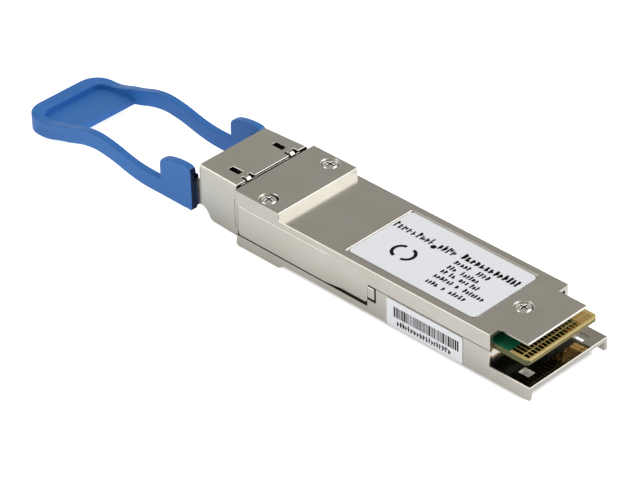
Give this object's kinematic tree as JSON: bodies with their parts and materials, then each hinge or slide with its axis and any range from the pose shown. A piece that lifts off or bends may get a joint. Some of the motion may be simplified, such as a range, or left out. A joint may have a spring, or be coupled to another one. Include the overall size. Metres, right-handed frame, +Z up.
{
  "type": "optical transceiver module",
  "caption": "Pluggable fibre-optic transceiver with a nickel-plated housing, a duplex receptacle, a card-edge connector, a sliding release latch and a blue pull tab.",
  "frame": {"origin": "on the flat bottom face of the housing, on its middle plane, 22 mm in front of the tail end of the side walls", "axes": "+X from the pull tab towards the card-edge contacts, +Y to the left when looking along +X, +Z up towards the labelled top face"},
  "size_m": [0.1177, 0.0185, 0.0113],
  "materials": {
    "satin nickel": "satin nickel plating over die-cast zinc",
    "stamped steel": "satin nickel-plated stamped sheet steel",
    "spring steel": "bright drawn wire",
    "blue plastic": "fine-textured moulded plastic",
    "black plastic": "fine-textured moulded plastic",
    "gold plate": "gold plating over an iron-nickel package",
    "stainless steel": "bright machined steel",
    "white ceramic": "polished zirconia",
    "amber film": "polyimide film over copper",
    "green laminate": "glass-fibre laminate under green solder mask",
    "chip package": "moulded epoxy",
    "grey ferrite": "pressed ferrite",
    "thermal pad": "soft filled silicone",
    "conductive rubber": "soft conductive silicone",
    "label stock": "satin printed polyester stock"
  },
  "bodies": {
    "housing": {"bottom_housing": "satin nickel", "top_cover": "satin nickel", "lc_receptacle": "black plastic", "optics_clamp": "stainless steel", "transmitter_optics_box": "gold plate", "transmitter_barrel": "stainless steel", "transmitter_ferrule_sleeve": "white ceramic", "transmitter_flex": "amber film", "receiver_optics_box": "gold plate", "receiver_barrel": "stainless steel", "receiver_ferrule_sleeve": "white ceramic", "receiver_flex": "amber film", "circuit_board": "green laminate", "retimer_chip": "chip package", "laser_driver_chip": "chip package", "receiver_amplifier_chip": "chip package", "microcontroller_chip": "chip package", "power_inductor": "grey ferrite", "retimer_thermal_pad": "thermal pad", "optics_thermal_pad": "thermal pad", "return_spring_left": "spring steel", "return_spring_right": "spring steel", "gasket_left": "conductive rubber", "gasket_right": "conductive rubber", "head_screw_left": "stainless steel", "head_screw_right": "stainless steel", "tail_screw": "stainless steel", "top_label": "label stock", "side_label": "label stock"},
    "slider": {"latch_slider": "stamped steel", "pull_tab": "blue plastic"}
  },
  "joints": [
    {"name": "latch_slide", "type": "slide", "parent": "housing", "child": "slider", "axis": [-1, 0, 0], "range_m": [0, 0.0022], "stiffness_N_per_m": 400, "springref_m": -0.0015, "deforming": ["return_spring_left", "return_spring_right"]}
  ]
}
